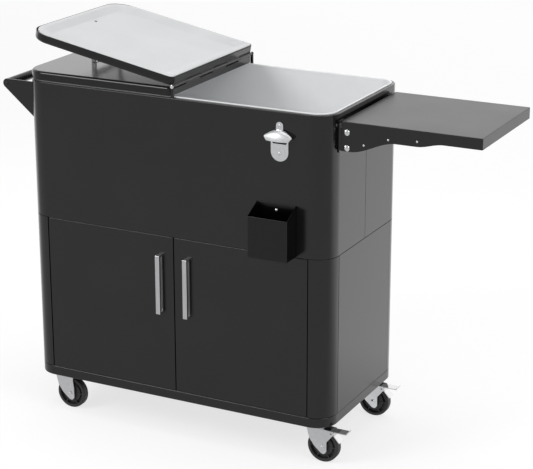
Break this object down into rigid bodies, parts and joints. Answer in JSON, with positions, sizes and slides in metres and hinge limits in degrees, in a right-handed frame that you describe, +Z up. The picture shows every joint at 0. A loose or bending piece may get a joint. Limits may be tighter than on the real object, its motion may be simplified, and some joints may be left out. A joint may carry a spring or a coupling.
{
  "type": "rolling patio cooler",
  "caption": "Insulated drinks tub with twin flip lids on a two-door cabinet with swivel casters, push handle, folding side shelf, bottle opener and cap catcher.",
  "frame": {"origin": "on the floor, in the middle of the whole object's bounding box seen from above, with the side shelf raised and the push handle", "axes": "+X from the push handle to the side shelf, +Y from the doors to the back, +Z up"},
  "size_m": [1.348, 0.4908, 1.0578],
  "materials": {
    "black_powder_coat": "satin black powder coat",
    "black_gloss_coat": "semi-gloss black coat",
    "white_plastic": "smooth white moulding",
    "insulating_foam": "open foam surface",
    "brushed_steel": "brushed along its length",
    "chrome_plate": "bright chrome plate",
    "zinc_plate": "bright zinc plate",
    "black_wheel_plastic": "moulded, matt",
    "black_plastic": "moulded, matt"
  },
  "bodies": {
    "cabinet": {"base_tray": "black_powder_coat", "left_corner_post": "black_powder_coat", "right_corner_post": "black_powder_coat", "left_side_panel": "black_powder_coat", "right_side_panel": "black_powder_coat", "back_panel": "black_powder_coat", "deck_panel": "black_powder_coat", "front_casing": "black_powder_coat", "rear_casing": "black_powder_coat", "front_hinge_post": "black_powder_coat", "rear_hinge_post": "black_powder_coat", "push_handle_front_gusset": "black_powder_coat", "push_handle_rear_gusset": "black_powder_coat", "push_handle_grip": "black_powder_coat", "front_shelf_bracket": "black_powder_coat", "rear_shelf_bracket": "black_powder_coat", "cap_catcher": "black_powder_coat", "tub_liner": "white_plastic", "insulation": "insulating_foam", "bottle_opener": "chrome_plate", "opener_upper_screw": "chrome_plate", "opener_lower_screw": "chrome_plate", "catcher_screw": "chrome_plate", "lid_hinge_pin": "chrome_plate", "left_door_hinge_rod": "zinc_plate", "right_door_hinge_rod": "zinc_plate", "magnet_catch": "black_plastic", "front_left_caster_plate": "zinc_plate", "rear_left_caster_plate": "zinc_plate", "front_right_caster_plate": "zinc_plate", "rear_right_caster_plate": "zinc_plate"},
    "left_lid": {"left_lid_shell": "black_gloss_coat", "left_lid_liner": "white_plastic", "left_lid_handle": "brushed_steel", "left_hinge_leaf": "brushed_steel"},
    "right_lid": {"right_lid_shell": "black_gloss_coat", "right_lid_liner": "white_plastic", "right_lid_handle": "brushed_steel", "right_hinge_leaf": "brushed_steel"},
    "left_door_leaf": {"left_door": "black_powder_coat", "left_door_handle": "brushed_steel"},
    "right_door_leaf": {"right_door": "black_powder_coat", "right_door_handle": "brushed_steel"},
    "side_shelf": {"shelf_pan": "black_powder_coat", "shelf_pivot_rod": "chrome_plate", "shelf_lock_rod": "chrome_plate"},
    "front_left_swivel": {"front_left_caster_fork": "zinc_plate", "front_left_axle": "zinc_plate"},
    "front_left_roller": {"front_left_wheel": "black_wheel_plastic"},
    "rear_left_swivel": {"rear_left_caster_fork": "zinc_plate", "rear_left_axle": "zinc_plate"},
    "rear_left_roller": {"rear_left_wheel": "black_wheel_plastic"},
    "front_right_swivel": {"front_right_caster_fork": "zinc_plate", "front_right_axle": "zinc_plate"},
    "front_right_roller": {"front_right_wheel": "black_wheel_plastic"},
    "front_right_pedal": {"front_right_brake_pedal": "zinc_plate"},
    "rear_right_swivel": {"rear_right_caster_fork": "zinc_plate", "rear_right_axle": "zinc_plate"},
    "rear_right_roller": {"rear_right_wheel": "black_wheel_plastic"},
    "rear_right_pedal": {"rear_right_brake_pedal": "zinc_plate"}
  },
  "joints": [
    {"name": "left_lid_hinge", "type": "hinge", "parent": "cabinet", "child": "left_lid", "pos_m": [-0.1315, 0.0264, 0.951], "axis": [0, 1, 0], "range_deg": [0, 169.22]},
    {"name": "right_lid_hinge", "type": "hinge", "parent": "left_lid", "child": "right_lid", "pos_m": [-0.1315, 0.0264, 0.951], "axis": [0, -1, 0], "range_deg": [-169.22, 0]},
    {"name": "left_door_hinge", "type": "hinge", "parent": "cabinet", "child": "left_door_leaf", "pos_m": [-0.5076, -0.1861, 0.345], "axis": [0, 0, -1], "range_deg": [0, 110]},
    {"name": "right_door_hinge", "type": "hinge", "parent": "cabinet", "child": "right_door_leaf", "pos_m": [0.2376, -0.1861, 0.345], "axis": [0, 0, 1], "range_deg": [0, 110]},
    {"name": "shelf_hinge", "type": "hinge", "parent": "cabinet", "child": "side_shelf", "pos_m": [0.328, 0.0264, 0.8405], "axis": [0, 1, 0], "range_deg": [0, 90]},
    {"name": "front_left_swivel_turn", "type": "hinge", "parent": "cabinet", "child": "front_left_swivel", "pos_m": [-0.517, -0.1451, 0.0935], "axis": [0, 0, 1], "continuous": true},
    {"name": "front_left_wheel_roll", "type": "hinge", "parent": "front_left_swivel", "child": "front_left_roller", "pos_m": [-0.489, -0.1451, 0.0433], "axis": [0, 1, 0], "continuous": true},
    {"name": "rear_left_swivel_turn", "type": "hinge", "parent": "cabinet", "child": "rear_left_swivel", "pos_m": [-0.517, 0.1789, 0.0935], "axis": [0, 0, 1], "continuous": true},
    {"name": "rear_left_wheel_roll", "type": "hinge", "parent": "rear_left_swivel", "child": "rear_left_roller", "pos_m": [-0.489, 0.1789, 0.0433], "axis": [0, 1, 0], "continuous": true},
    {"name": "front_right_swivel_turn", "type": "hinge", "parent": "cabinet", "child": "front_right_swivel", "pos_m": [0.247, -0.1451, 0.0935], "axis": [0, 0, 1], "continuous": true},
    {"name": "front_right_wheel_roll", "type": "hinge", "parent": "front_right_swivel", "child": "front_right_roller", "pos_m": [0.275, -0.1451, 0.0433], "axis": [0, 1, 0], "continuous": true},
    {"name": "front_right_pedal_hinge", "type": "hinge", "parent": "front_right_swivel", "child": "front_right_pedal", "pos_m": [0.3, -0.1451, 0.0846], "axis": [0, 1, 0], "range_deg": [0, 6]},
    {"name": "rear_right_swivel_turn", "type": "hinge", "parent": "cabinet", "child": "rear_right_swivel", "pos_m": [0.247, 0.1789, 0.0935], "axis": [0, 0, 1], "continuous": true},
    {"name": "rear_right_wheel_roll", "type": "hinge", "parent": "rear_right_swivel", "child": "rear_right_roller", "pos_m": [0.275, 0.1789, 0.0433], "axis": [0, 1, 0], "continuous": true},
    {"name": "rear_right_pedal_hinge", "type": "hinge", "parent": "rear_right_swivel", "child": "rear_right_pedal", "pos_m": [0.3, 0.1789, 0.0846], "axis": [0, 1, 0], "range_deg": [0, 6]}
  ]
}
